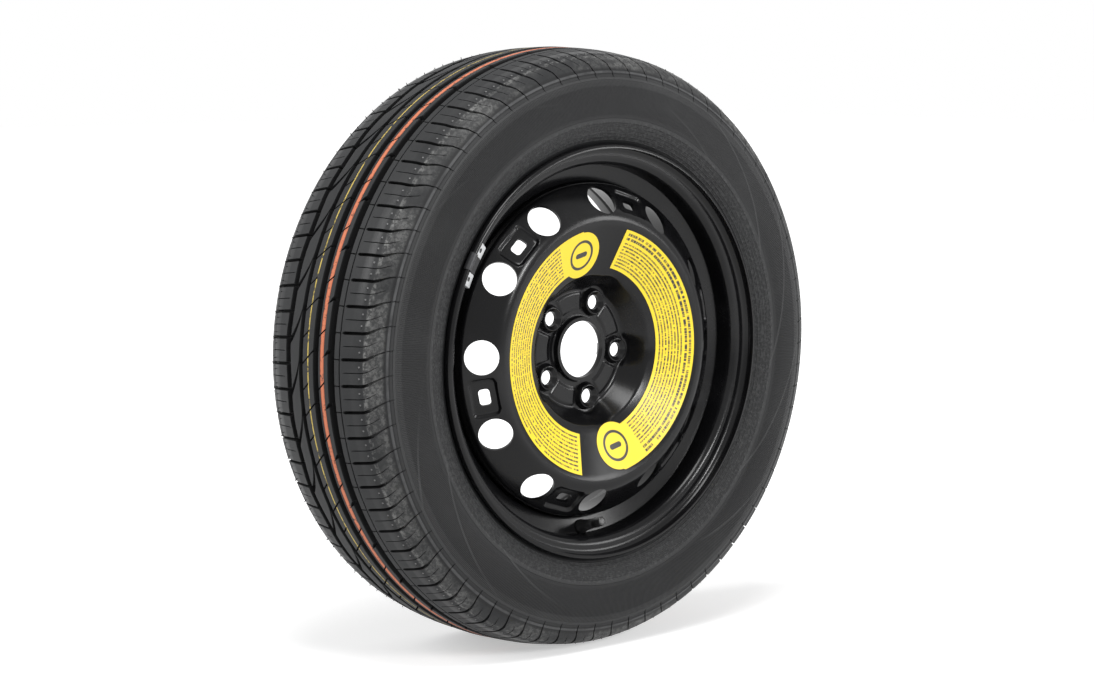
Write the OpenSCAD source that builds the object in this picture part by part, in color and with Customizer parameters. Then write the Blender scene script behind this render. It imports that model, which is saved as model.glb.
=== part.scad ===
// Road wheel kept as a spare: a pressed steel wheel with its tyre, valve, balance weight and speed labels.
// The axle runs along Y, the outer face looks towards -Y and +Z is up.
// Inside the modules a piece is drawn lying down: "out" is the distance towards the outer face,
// measured from the middle of the tyre, and angles run from +X towards the top of the wheel.

/* [Tyre] */
// Outer diameter of the tyre
tyre_d = 606; // [598:1:612]
// Width of the blown-up tyre across its side walls
section_w = 188; // [184:1:194]
// Width of the tread from shoulder to shoulder
tread_w = 164; // [158:1:168]
// Fall of the tread from its middle to the shoulder
crown_drop = 6.6; // [4:0.1:8]
// Depth of the main grooves
groove_depth = 7.6; // [6:0.1:8.5]
// Depth of the slots across the shoulders
slot_depth = 5.6; // [4:0.1:6.5]
// Width of the slots across the shoulders
slot_w = 3.2; // [2:0.1:5]
// Number of tread blocks round the tyre
tread_blocks = 75; // [60:1:80]
// Slant of the shoulder slots
slot_slant = 9; // [0:1:16]
// Thickness of the rubber under the tread grooves
under_tread = 6; // [5:0.5:8]
// Thickness of the side wall
wall_t = 7; // [6:0.5:8]
// Depth of the flat where the loaded tyre meets the ground
ground_flat = 2; // [1.4:0.1:3]

/* [Rim] */
// Diameter at which the tyre bead sits
bead_seat_d = 380.2; // [379:0.2:381]
// Width between the two flanges
rim_w = 152.4; // [146:0.2:158]
// Height of the flange above the bead seat
flange_h = 17.5; // [16.5:0.1:18.5]
// Width of the rolled edge of the flange
flange_edge_w = 14.8; // [13:0.1:16]
// Length of the turned-down end of the flange
lip_drop = 4.2; // [3.6:0.1:5]
// Depth of the well under the bead seat
well_depth = 19.3; // [18.5:0.1:20]
// Place of the outer wall of the well
well_out = 46.9; // [45:0.1:48]
// Width of the bottom of the well
well_w = 27; // [25:0.5:30]
// Height of the safety hump
hump_h = 1.4; // [0.8:0.1:2]
// Thickness of the rim metal
rim_t = 2.6; // [2.2:0.1:3]

/* [Disc] */
// Distance of the mounting face from the middle of the tyre
inset = 38; // [35:0.5:41]
// Thickness of the disc metal
disc_t = 3.6; // [3:0.1:4]
// Diameter of the centre bore
bore_d = 57.1; // [56:0.1:60]
// Height of the collar round the bore above the mounting face
collar_h = 10.5; // [9:0.5:12]
// Diameter of the circle of bolt holes
bolt_circle_d = 100; // [98:0.5:102]
// Number of bolt holes
bolt_count = 5; // [4:1:5]
// Diameter of a bolt hole
bolt_hole_d = 14.6; // [13:0.1:15]
// Angle of the first bolt hole
bolt_angle = 66.9; // [0:0.1:72]
// Radius of the flat in the middle of the disc
hub_r = 61; // [59:0.5:62]
// Radius at which the labelled cone begins
cone_r = 76; // [75:0.5:76]
// Radius of the ridge of the disc
ridge_r = 135; // [134:0.5:136]
// Rise of the disc from the hub to the start of the cone
cone_rise = 22.9; // [21:0.1:24.5]
// Slope of the labelled cone
cone_slope = 20.3; // [18:0.1:22]
// Slope of the vented band outside the ridge
vent_slope = 39.2; // [37:0.1:41]

/* [Vents] */
// Number of round vents
vent_count = 12; // [12:12:12]
// Diameter of a round vent
vent_d = 34; // [30:0.5:35]
// Radius of the circle of vents
vent_circle_r = 151.9; // [151:0.1:153]
// Angle of the first vent
vent_angle = 28; // [0:0.5:30]
// Length of a pressed pad between two vents
pad_l = 37; // [34:0.5:38]
// Width of a pressed pad
pad_w = 26; // [22:0.5:27]
// Depth of a pressed pad
pad_depth = 2.6; // [1.5:0.1:3.5]
// Length of the window in a pad
window_l = 16.5; // [14:0.5:20]
// Width of the window in a pad
window_w = 11; // [9:0.5:13]

/* [Labels] */
// Inner radius of the labels
label_in_r = 84.6; // [84.2:0.1:86]
// Outer radius of the labels
label_out_r = 124.8; // [122:0.1:126]
// Thickness of the label film
label_t = 0.15; // [0.1:0.05:0.3]
// Thickness of the glue under the film
glue_t = 0.12; // [0.1:0.01:0.2]
// Radius of the round end of a label
label_end_r = 23.3; // [22:0.1:24]
// Radius at which the round end is centred
label_end_at = 100.3; // [99:0.1:102]
// Angle of the middle of the round end of the first label
label_end_angle = 103.5; // [98:0.5:108]
// Angle covered from there to the straight end
label_sweep = 152.5; // [140:0.5:154]

/* [Balance weight] */
// Length of the weight along the flange
weight_l = 45; // [35:0.5:50]
// Height of the weight towards the axle
weight_h = 13; // [11:0.5:14]
// Thickness of the weight
weight_t = 5.2; // [4:0.1:6]
// Width of the steel clip
clip_w = 17; // [12:0.5:20]
// Thickness of the steel clip
clip_t = 0.9; // [0.6:0.1:1.2]
// Angle of the weight on the rim
weight_angle = 150.5; // [0:0.5:360]

/* [Valve] */
// Angle of the valve on the rim
valve_angle = 268.5; // [0:0.5:360]
// Lean of the well wall, and so of the valve, towards the axle
valve_lean = 17; // [15:0.5:18]
// Diameter of the valve hole in the rim
valve_hole_d = 11.3; // [11.1:0.1:11.6]
// Distance of the end of the stem from the rim
stem_l = 31.6; // [30:0.1:33]
// Diameter of the stem's outer thread
stem_d = 7.7; // [7.5:0.1:7.9]
// Diameter of the thread that holds the core
core_d = 5.2; // [5:0.1:5.4]
// Outer diameter of the cap
cap_d = 10.2; // [9.8:0.1:11]
// Length of the cap
cap_l = 13.4; // [12:0.1:15]
// Running gap between the cap and the stem
cap_gap = 0.06; // [0.03:0.01:0.09]
// Running gap between the core pin and its hole
pin_gap = 0.06; // [0.03:0.01:0.09]
// Diameter of the core pin
pin_d = 1.2; // [1:0.1:1.4]
// Number of turns of the core spring
spring_turns = 7; // [5:1:9]

/* [Hidden] */
$fn = 96;

// Gap between the bead of the tyre and the rim
bead_gap = 0.1;
tyre_r = tyre_d / 2;
seat_r = bead_seat_d / 2;
flange_at = rim_w / 2;
flange_r = seat_r + flange_h;
lip_at = flange_at + flange_edge_w;
well_r = seat_r - well_depth;
well_in_r = well_r - rim_t;
seat_taper = 5;
seat_l = 19.8;
seat_end = flange_at - seat_l;
seat_end_r = seat_r - seat_l * tan(seat_taper);
hump_r = seat_end_r + hump_h;
// The outer wall of the well leans, so that the valve does, and runs up to the hump
hump_at = well_out + (hump_r - well_r) * tan(valve_lean);
plate_out = inset + disc_t;

// Rounds the corners of a path: each point is [along, up, radius], and each step turns up to "bend"
function unit(v) = v / norm(v);
function flat2(p) = [p[0], p[1]];
function corner_turn(a, b, c) =
    acos(max(-1, min(1, unit(flat2(b) - flat2(a)) * unit(flat2(c) - flat2(b)))));
function corner_cut(a, b, c) = b[2] * tan(corner_turn(a, b, c) / 2);
function side_of(a, b, c) = sign((b[0] - a[0]) * (c[1] - b[1]) - (b[1] - a[1]) * (c[0] - b[0]));
function left_of(v) = [-v[1], v[0]];
function corner(a, b, c, bend) =
    let (u = unit(flat2(b) - flat2(a)), turn = corner_turn(a, b, c), s = side_of(a, b, c),
        start = flat2(b) - u * corner_cut(a, b, c), hub = start + left_of(u) * s * b[2],
        steps = max(1, ceil(turn / bend)))
    [for (i = [0:steps]) let (t = s * (turn * i / steps - 90))
        hub + b[2] * [u[0] * cos(t) - u[1] * sin(t), u[1] * cos(t) + u[0] * sin(t)]];
function round_path(p, bend = 15) =
    let (n = len(p))
    [for (i = [0:n - 1]) each (i == 0 || i == n - 1 || p[i][2] == 0) ? [flat2(p[i])]
        : corner(p[i - 1], p[i], p[i + 1], bend)];
// Moves a path sideways by a distance, to its left
function shifted(p, by) =
    let (n = len(p))
    [for (i = [0:n - 1])
        let (a = unit(p[min(i + 1, n - 1)] - p[min(i, n - 2)]), b = unit(p[max(i, 1)] - p[max(i - 1, 0)]),
            m = unit(left_of(a) + left_of(b)))
        p[i] + m * by / (m * left_of(a))];
function reversed(p) = [for (i = [len(p) - 1:-1:0]) p[i]];
function mirrored(p) = [for (i = [len(p) - 1:-1:0]) [-p[i][0], p[i][1]]];
// Turns a path of [out, radius] into a profile to spin
function spun(p) = [for (q = p) [q[1], q[0]]];

// Sets a piece drawn lying down upright, with its outer face towards -Y
module upright() {
    rotate([90, 0, 0]) children();
}

// Tyre side of the rim, from the inner flange to the outer one
function flange_side() = [
    [seat_end + 0.2, seat_end_r, 1.5], [flange_at, seat_r, 6.5], [flange_at, flange_r, 9.5],
    [lip_at, flange_r, 3.6], [lip_at, flange_r - lip_drop, 0]];
hump_bend = rim_t + 0.3;
function hump_side() = [[hump_at, hump_r, hump_bend]];
function inner_half() = concat([[8, seat_r - 6.6, 14], [hump_at - 5.3, seat_end_r - 1.6, 5],
    [hump_at, hump_r, hump_bend]], flange_side());
function rim_path() = concat(
    [for (q = reversed(inner_half())) [-q[0], q[1], q[2]]],
    [[well_out - well_w, well_r, 6], [well_out, well_r, 1.5]],
    hump_side(), flange_side());
rim_line = round_path(rim_path());

module rim_shell() {
    rotate_extrude() polygon(spun(concat(rim_line, reversed(shifted(rim_line, -rim_t)))));
}

// Places the children on the well wall, with their own axis along the valve
valve_up = 9.9;
valve_r = well_r + valve_up;
valve_out = well_out + valve_up * tan(valve_lean);
module at_valve() {
    rotate([0, 0, valve_angle]) translate([valve_r, 0, valve_out])
        rotate([0, -valve_lean, 0]) translate([0, 0, rim_t]) children();
}

module rim() {
    color("#141416") upright() difference() {
        rim_shell();
        at_valve() translate([0, 0, -rim_t - 4]) cylinder(d = valve_hole_d, h = rim_t + 8);
    }
}

// Outer face of the disc as [out, radius], with a corner radius at each point
cone_out = plate_out + cone_rise;
ridge_out = cone_out + (ridge_r - cone_r) * tan(cone_slope);
skirt_out = ridge_out - (well_in_r - ridge_r) * tan(vent_slope);
skirt_end = well_out - 22;
function disc_path(stop) = [
    [plate_out, 0, 0], [plate_out, hub_r, 5], [cone_out, cone_r, disc_t + 1.6],
    [ridge_out, ridge_r, 9], [skirt_out, well_in_r, 6], [stop, well_in_r, 0]];
disc_line = round_path(disc_path(skirt_end));
disc_back = shifted(disc_line, disc_t);

// Solid from a face of the disc back to a plane
module behind(line, plane) {
    rotate_extrude() polygon(spun(concat([[plane, 0]], line, [[plane, line[len(line) - 1][1]]])));
}

module at_bolts() {
    for (k = [0:bolt_count - 1])
        rotate([0, 0, bolt_angle - k * 360 / bolt_count]) translate([bolt_circle_d / 2, 0, 0]) children();
}

// Room pressed into the wall of the hub round each bolt
lobe_r = 17.5;
lobe_slope = 67;
module lobes(grow) {
    lobe_h = cone_rise + 12;
    at_bolts() translate([0, 0, plate_out + 0.05 - grow])
        cylinder(r1 = lobe_r + grow * 0.6, r2 = lobe_r + grow * 0.6 + lobe_h / tan(lobe_slope), h = lobe_h);
}

// Height of the vented band above a radius
function band_out(r) = ridge_out - (r - ridge_r) * tan(vent_slope);
module on_band(angle, r) {
    rotate([0, 0, angle]) translate([r, 0, band_out(r)]) rotate([0, vent_slope, 0]) children();
}

function pill(l, w, r) = [for (c = [[1, 1, 0], [-1, 1, 90], [-1, -1, 180], [1, -1, 270]], i = [0:3])
    [c[0] * (w / 2 - r) + r * cos(c[2] + i * 30), c[1] * (l / 2 - r) + r * sin(c[2] + i * 30)]];

pad_step = 360 / (vent_count / 2);
pad_angle = vent_angle - 15;
module pads(grow) {
    for (k = [0:vent_count / 2 - 1]) on_band(pad_angle + k * pad_step, vent_circle_r)
        translate([0, 0, -pad_depth - grow])
            linear_extrude(20) polygon(pill(pad_l + grow, pad_w + grow, 5));
}

module pressed_shell() {
    difference() {
        behind(disc_line, skirt_end);
        lobes(0);
        pads(0);
        difference() {
            behind(disc_back, skirt_end - 5);
            lobes(disc_t);
            pads(disc_t);
        }
    }
}

boss_h = 6.2;
module bosses() {
    at_bolts() translate([0, 0, plate_out - 1]) cylinder(r1 = 15, r2 = 11.8, h = boss_h + 1);
}

module bolt_cuts() {
    hole_r = bolt_hole_d / 2;
    at_bolts() {
        translate([0, 0, inset - 1]) cylinder(r = hole_r, h = disc_t + boss_h + 2);
        translate([0, 0, plate_out + boss_h - 3.4]) cylinder(r1 = hole_r, r2 = hole_r + 3.7, h = 3.7);
        translate([0, 0, inset - 0.1]) cylinder(r1 = hole_r + 3, r2 = hole_r, h = 2.4);
    }
}

// Raised fields stamped between the bolts
module hub_fields() {
    for (k = [0:bolt_count - 1])
        rotate([0, 0, bolt_angle + (0.5 - k) * 360 / bolt_count - 17])
            rotate_extrude(angle = 34) translate([40, plate_out - 1]) square([17, 2]);
}

collar_t = 3.6;
module bore_collar() {
    translate([0, 0, inset]) cylinder(r = bore_d / 2 + collar_t, h = collar_h);
}

module disc() {
    color("#141416") upright() difference() {
        union() {
            pressed_shell();
            bosses();
            hub_fields();
            bore_collar();
        }
        translate([0, 0, inset - 1]) cylinder(d = bore_d, h = collar_h + 2);
        bolt_cuts();
        for (k = [0:vent_count - 1]) on_band(vent_angle + k * 360 / vent_count, vent_circle_r)
            translate([0, 0, -20]) cylinder(d = vent_d, h = 40);
        for (k = [0:vent_count / 2 - 1]) on_band(pad_angle + k * pad_step, vent_circle_r)
            translate([0, 0, -20]) linear_extrude(40) polygon(pill(window_l, window_w, 3));
    }
}

// Film that lies on the cone of the disc
module cone_film() {
    lo = label_end_at - label_end_r - 2;
    hi = label_out_r + 2;
    seat = [for (r = [lo, hi]) [cone_out + (r - cone_r) * tan(cone_slope), r]];
    rotate_extrude() polygon(spun(concat(shifted(seat, -glue_t), reversed(shifted(seat, -glue_t - label_t)))));
}

module label(turn) {
    color("#fbdd26") upright() rotate([0, 0, turn]) intersection() {
        cone_film();
        translate([0, 0, cone_out - 20]) linear_extrude(60) union() {
            rotate([0, 0, label_end_angle]) intersection() {
                difference() {
                    circle(label_out_r);
                    circle(label_in_r);
                }
                polygon([for (i = [0:8]) (i == 0 ? 0 : 1.3 * label_out_r)
                    * [cos((i - 1) * label_sweep / 7), sin((i - 1) * label_sweep / 7)]]);
            }
            rotate([0, 0, label_end_angle]) translate([label_end_at, 0]) circle(label_end_r);
        }
    }
}

module label_left() {
    label(0);
}

module label_right() {
    label(180);
}

// Half of the outer line of the tyre, from beside the middle to the bead, as [out, radius, corner]
shoulder_out = tread_w / 2 - 15;
shoulder_r = tyre_r - crown_drop;
edge_r = shoulder_r - 8.4;
belly_r = flange_r + 35;
function tyre_half() = [
    [shoulder_out * 0.56, tyre_r - crown_drop * 0.24, 150], [shoulder_out, shoulder_r, 40],
    [tread_w / 2, edge_r, 14], [section_w / 2 - 2.6, belly_r + 25, 50], [section_w / 2, belly_r, 60],
    [section_w / 2 - 3, flange_r + 14.5, 25], [flange_at + 8.6, flange_r + 3.4, 6],
    [flange_at + 3, flange_r - 6, 0], [flange_at + 3, seat_r - 6, 0], [seat_end + 2, seat_r - 6, 0]];
lining_r = tyre_r - groove_depth - under_tread;
function lining_half() = [
    [shoulder_out - 6, lining_r - 3, 40], [shoulder_out + 10, lining_r - 13, 14],
    [section_w / 2 - wall_t, belly_r + 8, 50], [section_w / 2 - wall_t - 1, belly_r - 12, 30],
    [flange_at - 5, flange_r + 2, 14], [seat_end + 2, seat_r + 3, 0]];
function both_halves(half, middle) = concat(
    [for (i = [len(half) - 1:-1:0]) [-half[i][0], half[i][1], half[i][2]]], [middle], half);

function crown_at(out) = tyre_r - crown_drop * pow(abs(out) / shoulder_out, 2.2);

// Main grooves as [out, width, depth]
grooves = [[33.5, 12.4, groove_depth], [8.8, 9.4, groove_depth], [-14, 1.6, groove_depth * 0.5],
    [-38.5, 9, groove_depth], [42.8, 1.4, groove_depth * 0.3]];

module tyre_section() {
    outer = round_path(both_halves(tyre_half(), [0, tyre_r, 0]), 12);
    inner = round_path(both_halves(lining_half(), [0, lining_r, 300]), 20);
    difference() {
        polygon(spun(concat(outer, reversed(inner))));
        polygon(spun(concat(shifted(rim_line, bead_gap), [[lip_at, 100], [-lip_at, 100]])));
        for (g = grooves) translate([crown_at(g[0]) - g[2], g[0] - g[1] / 2]) square([20, g[1]]);
    }
}

// One slot across a shoulder, as a slice that follows the curve of the tyre
slot_start = 46.5;
module shoulder_slot() {
    pivot = shoulder_out - 6;
    line = [[slot_start, crown_at(slot_start) - slot_depth], [shoulder_out, shoulder_r - slot_depth],
        [tread_w / 2 - 2.4, edge_r - slot_depth * 0.55], [section_w / 2 - 6.2, edge_r - 13.5],
        [section_w / 2 - 2, edge_r - 16], [section_w / 2 + 4, edge_r],
        [tread_w / 2, tyre_r + 4], [slot_start, tyre_r + 4]];
    translate([0, 0, pivot]) rotate([slot_slant, 0, 0]) translate([0, 0, -pivot])
        rotate([90, 0, 0]) linear_extrude(slot_w, center = true) polygon(spun(line));
}

// Notch in the edge of the middle rib
module rib_notch() {
    translate([tyre_r - groove_depth * 0.55, -1.1, 19.5]) rotate([34, 0, 0]) cube([12, 2.2, 10]);
}

module tread_cuts() {
    step = 360 / tread_blocks;
    for (k = [0:tread_blocks - 1]) {
        rotate([0, 0, k * step]) shoulder_slot();
        rotate([0, 0, (k + 0.4) * step]) rotate([180, 0, 0]) shoulder_slot();
        rotate([0, 0, (k + 0.2) * step]) rib_notch();
    }
}

module tyre() {
    color("#2b2b2d") upright() difference() {
        rotate_extrude() tyre_section();
        tread_cuts();
        translate([-tyre_r, -tyre_r - 50 + ground_flat, -section_w])
            cube([2 * tyre_r, 50, 2 * section_w]);
    }
}

// Line just inside the flange, where the balance weight lies
weight_gap = 0.1;
module weight_profile(thin) {
    face = flange_at + rim_t + weight_t;
    difference() {
        polygon(spun([[flange_at, flange_r - 4 - weight_h], [face - 1.2 - thin, flange_r - 4 - weight_h],
            [face - thin, flange_r - 2 - weight_h], [lip_at - 2.4 - thin, flange_r - lip_drop - 0.9],
            [lip_at - 5, flange_r - 2.7], [flange_at, flange_r - 2.7]]));
        polygon(spun(concat(shifted(rim_line, -rim_t - weight_gap), [[lip_at, tyre_r], [-lip_at, tyre_r]])));
    }
}

module round_flange(length) {
    span = length / (flange_r - 8) * 180 / PI;
    rotate([0, 0, weight_angle - span / 2]) rotate_extrude(angle = span) children();
}

module weight_body() {
    color("#b9bcbf") upright() difference() {
        round_flange(weight_l) weight_profile(0);
        difference() {
            round_flange(clip_w + 0.4) translate([flange_r - 30, flange_at]) square([60, 30]);
            round_flange(clip_w + 1) weight_profile(clip_t + weight_gap);
        }
        for (s = [-1, 1]) rotate([0, 0, weight_angle + s * 4.4])
            translate([flange_r - 9.5, 0, lip_at - 5.2]) rotate([0, -24, 0]) cylinder(d = 2.6, h = 6);
    }
}

module weight_clip() {
    face = flange_at + rim_t + weight_t - clip_t;
    line = round_path([[face - 0.6, flange_r - 3 - weight_h, 0], [face, flange_r - 2 - weight_h, 0.8],
        [lip_at - 2.4 - clip_t, flange_r - lip_drop - 1.1, clip_t + 0.4],
        [lip_at + weight_gap, flange_r - lip_drop - 0.6, 0.6],
        [lip_at + weight_gap, flange_r + weight_gap, 3.6], [lip_at - 4.2, flange_r + weight_gap, 0]]);
    color("#55575a") upright() round_flange(clip_w)
        polygon(spun(concat(line, reversed(shifted(line, -clip_t)))));
}

// Valve, drawn along its own axis from the outer face of the well wall
stem_r = stem_d / 2;
core_r = core_d / 2;
pin_r = pin_d / 2;
neck_r = 3.2;
rubber_end = stem_l - 11.4;
seat_z = stem_l - 13.6;
barrel_z = seat_z - 5;
plug_z = seat_z + 6.6;
plug_end = stem_l - 2;

// The wall is curved and the faces of the rubber are flat, so they stand a little off it
seat_gap = 0.08;
hole_fit_r = valve_hole_d / 2 - 0.05;
module valve_rubber() {
    color("#1c1c1d") upright() at_valve() rotate_extrude() polygon([
        [neck_r, -rim_t - 6], [5.2, -rim_t - 6], [7.6, -rim_t - 3.8], [7.6, -rim_t - seat_gap],
        [hole_fit_r, -rim_t - seat_gap], [hole_fit_r, seat_gap], [7.3, seat_gap], [7.3, 2.2], [6.5, 4.6],
        [5.8, 8], [4.9, rubber_end - 2.6], [4.6, rubber_end - 0.6], [4, rubber_end], [neck_r, rubber_end]]);
}

module valve_stem() {
    bore_r = 2;
    color("#b08d45") upright() at_valve() rotate_extrude() polygon([
        [bore_r, -rim_t - 5.4], [neck_r, -rim_t - 5.4], [neck_r, rubber_end], [stem_r - 0.3, rubber_end],
        [stem_r, rubber_end + 0.3], [stem_r, stem_l - 0.5], [stem_r - 0.5, stem_l], [core_r + 0.1, stem_l],
        [core_r + 0.05, seat_z + 3], [bore_r, seat_z]]);
}

module core_plug() {
    color("#c9a452") upright() at_valve() difference() {
        union() {
            translate([0, 0, plug_z]) cylinder(r = core_r, h = 3.4);
            intersection() {
                translate([0, 0, plug_z]) cylinder(r = core_r - 0.4, h = plug_end - plug_z);
                translate([-core_r, -0.9, plug_z]) cube([2 * core_r, 1.8, plug_end - plug_z]);
            }
        }
        translate([0, 0, plug_z - 1]) cylinder(r = pin_r + pin_gap, h = plug_end);
    }
}

barrel_r = 1.75;
barrel_in_r = 1.15;
module core_barrel() {
    color("#c9a452") upright() at_valve() difference() {
        translate([0, 0, barrel_z]) cylinder(r = barrel_r, h = plug_z - barrel_z);
        translate([0, 0, barrel_z + 0.8]) cylinder(r = barrel_in_r, h = plug_z);
        translate([0, 0, barrel_z - 1]) cylinder(r = pin_r + pin_gap, h = 3);
    }
}

module core_gasket() {
    color("#8e2f26") upright() at_valve() rotate_extrude() polygon([
        [barrel_r, seat_z + 0.4], [2, seat_z + 0.4], [core_r - 0.05, seat_z + 2.9], [barrel_r, seat_z + 2.9]]);
}

cup_r = 1.7;
pin_end = stem_l - 0.7;
module core_pin() {
    color("#c9a452") upright() at_valve() {
        translate([0, 0, barrel_z - 4]) cylinder(r = pin_r, h = pin_end - barrel_z + 4);
        translate([0, 0, plug_z - 2.2]) cylinder(r = barrel_in_r - 0.15, h = 0.8);
        difference() {
            translate([0, 0, barrel_z - 4.6]) cylinder(r = cup_r, h = 3.2);
            translate([0, 0, barrel_z - 3.8]) cylinder(r = cup_r - 0.2, h = 3);
        }
    }
}

module core_seal() {
    color("#1c1c1d") upright() at_valve() difference() {
        translate([0, 0, barrel_z - 3.8]) cylinder(r = cup_r - 0.2, h = 3.78);
        translate([0, 0, barrel_z - 4]) cylinder(r = pin_r, h = 5);
    }
}

// Wire spring, as a round wire carried along a helix
wire_r = 0.12;
spring_lo = barrel_z + 0.8 + wire_r;
spring_hi = plug_z - 2.2 - wire_r;
coil_r = barrel_in_r - 0.08 - wire_r;
function helix(t) = [coil_r * cos(360 * spring_turns * t), coil_r * sin(360 * spring_turns * t),
    spring_lo + (spring_hi - spring_lo) * t];
function helix_ring(t, sides) =
    let (a = 360 * spring_turns * t)
    [for (i = [0:sides - 1]) let (b = 360 * i / sides)
        helix(t) + wire_r * [cos(a) * cos(b), sin(a) * cos(b), sin(b)]];
module core_spring() {
    sides = 6;
    rings = spring_turns * 10;
    points = [for (k = [0:rings]) each helix_ring(k / rings, sides)];
    walls = [for (k = [0:rings - 1], i = [0:sides - 1])
        let (a = k * sides + i, b = k * sides + (i + 1) % sides)
        each [[a, a + sides, b + sides], [a, b + sides, b]]];
    ends = [[for (i = [0:sides - 1]) i], [for (i = [sides - 1:-1:0]) rings * sides + i]];
    color("#9a9c9f") upright() at_valve() polyhedron(points, concat(walls, ends));
}

cap_r = cap_d / 2;
cap_end = stem_l + 2.5;
cap_start = cap_end - cap_l;
seal_t = 0.8;
module valve_cap() {
    ribs = 18;
    color("#18181a") upright() at_valve() difference() {
        rotate_extrude() polygon([[0, cap_start], [cap_r - 0.4, cap_start], [cap_r, cap_start + 0.4],
            [cap_r, cap_start + 6], [cap_r - 0.6, cap_end - 1.2], [cap_r - 1.5, cap_end], [0, cap_end]]);
        translate([0, 0, cap_start - 1]) cylinder(r = stem_r + cap_gap, h = cap_l - 0.7);
        for (k = [0:ribs - 1]) rotate([0, 0, k * 360 / ribs])
            translate([cap_r + 0.35, 0, cap_start + 0.8]) cylinder(d = 1.2, h = 5.4, $fn = 8);
    }
}

module cap_seal() {
    color("#1c1c1d") upright() at_valve() difference() {
        translate([0, 0, stem_l + 0.04]) cylinder(r = stem_r - 0.1, h = seal_t - 0.06);
        translate([0, 0, stem_l - 1]) cylinder(r = 1.2, h = 4);
    }
}

tyre();
rim();
disc();
label_left();
label_right();
weight_body();
weight_clip();
valve_rubber();
valve_stem();
core_plug();
core_barrel();
core_gasket();
core_pin();
core_seal();
core_spring();
valve_cap();
cap_seal();
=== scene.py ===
"""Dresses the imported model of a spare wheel: tyre, pressed steel wheel, labels, balance weight and valve.

The axle runs along Y, the outer face looks towards -Y and +Z is up. A line to be spun is written as
(out, radius) in millimetres, where out is the distance from the middle of the tyre towards the outer face.
"""

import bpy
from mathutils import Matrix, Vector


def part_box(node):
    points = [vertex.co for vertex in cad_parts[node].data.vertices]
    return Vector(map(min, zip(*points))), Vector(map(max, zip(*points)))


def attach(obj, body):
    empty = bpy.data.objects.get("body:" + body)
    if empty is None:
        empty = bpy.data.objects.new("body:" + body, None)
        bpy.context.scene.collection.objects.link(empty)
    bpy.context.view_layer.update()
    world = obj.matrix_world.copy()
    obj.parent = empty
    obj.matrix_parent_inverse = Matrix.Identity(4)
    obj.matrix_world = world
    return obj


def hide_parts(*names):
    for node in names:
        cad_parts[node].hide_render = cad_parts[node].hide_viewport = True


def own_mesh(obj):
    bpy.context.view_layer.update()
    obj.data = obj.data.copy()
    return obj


bl_info = {
    "name": "Spare Wheel Dresser",
    "version": (1, 0, 0),
    "blender": (4, 5, 0),
    "location": "View3D > Sidebar > Spare Wheel",
    "description": "Builds the tyre, the pressed wheel and the small parts of a spare wheel",
    "category": "Object",
}

from math import asin, atan2, ceil, copysign, cos, degrees, hypot, pi, radians, sin, sqrt, tan

import bmesh
import bpy
from bpy.props import FloatProperty, FloatVectorProperty, IntProperty, PointerProperty
from mathutils import Matrix, Vector

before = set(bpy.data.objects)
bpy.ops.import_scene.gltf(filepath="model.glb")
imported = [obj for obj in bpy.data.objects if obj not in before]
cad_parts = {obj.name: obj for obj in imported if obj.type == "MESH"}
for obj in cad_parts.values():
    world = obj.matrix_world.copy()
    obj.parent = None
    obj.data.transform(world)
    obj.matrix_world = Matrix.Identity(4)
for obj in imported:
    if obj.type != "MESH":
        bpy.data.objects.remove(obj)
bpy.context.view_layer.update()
MM = 0.001
IN_MM = 1 / MM
TAU = 2 * pi
GROUND_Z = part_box("tyre")[0].z


# Settings
def length(name, description, millimetres):
    return FloatProperty(name=name, description=description, default=millimetres * MM, unit="LENGTH")


def colour(name, description, default):
    return FloatVectorProperty(name=name, description=description, subtype="COLOR", default=default)


class TyreSettings(bpy.types.PropertyGroup):
    blocks: IntProperty(name="Tread blocks", description="Blocks round each shoulder",
                        default=75, min=40, max=90)
    slot_width: length("Slot width", "Width of a shoulder slot", 3.3)
    slot_depth: length("Slot depth", "Depth of a shoulder slot", 5.6)
    whisker: length("Whisker length", "Length of the short moulding whiskers", 0.9)
    rubber: colour("Rubber", "Colour of the rubber", (0.0105, 0.011, 0.012))
    dust: colour("Dust", "Colour of the dust on the rubber", (0.042, 0.043, 0.043))
    wide_line: colour("Wide line", "Colour of the wide marking line", (0.60, 0.155, 0.068))
    thin_line: colour("Thin line", "Colour of the thin marking line", (0.60, 0.45, 0.10))


class WheelSettings(bpy.types.PropertyGroup):
    paint: colour("Paint", "Colour of the wheel paint", (0.0045, 0.0045, 0.005))
    roughness: FloatProperty(name="Paint roughness", description="Roughness of the wheel paint",
                             subtype="FACTOR", default=0.20, min=0, max=1)
    lobe_radius: length("Bolt pocket", "Radius of the pocket round a bolt hole", 17.5)
    boss_height: length("Boss height", "Height of the boss round a bolt hole", 6.2)
    pad_depth: length("Pad depth", "Depth of the pads between the vents", 2.6)
    vent_diameter: length("Vent", "Diameter of a round vent", 34)


class PartSettings(bpy.types.PropertyGroup):
    label: colour("Label", "Colour of the label film", (0.87, 0.63, 0.015))
    ink: colour("Ink", "Colour of the print on the labels", (0.012, 0.012, 0.012))
    zinc: colour("Zinc", "Colour of the balance weight", (0.56, 0.57, 0.58))
    steel: colour("Clip steel", "Colour of the clip of the balance weight", (0.020, 0.020, 0.022))
    brass: colour("Brass", "Colour of the valve's metal", (0.60, 0.43, 0.16))


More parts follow.
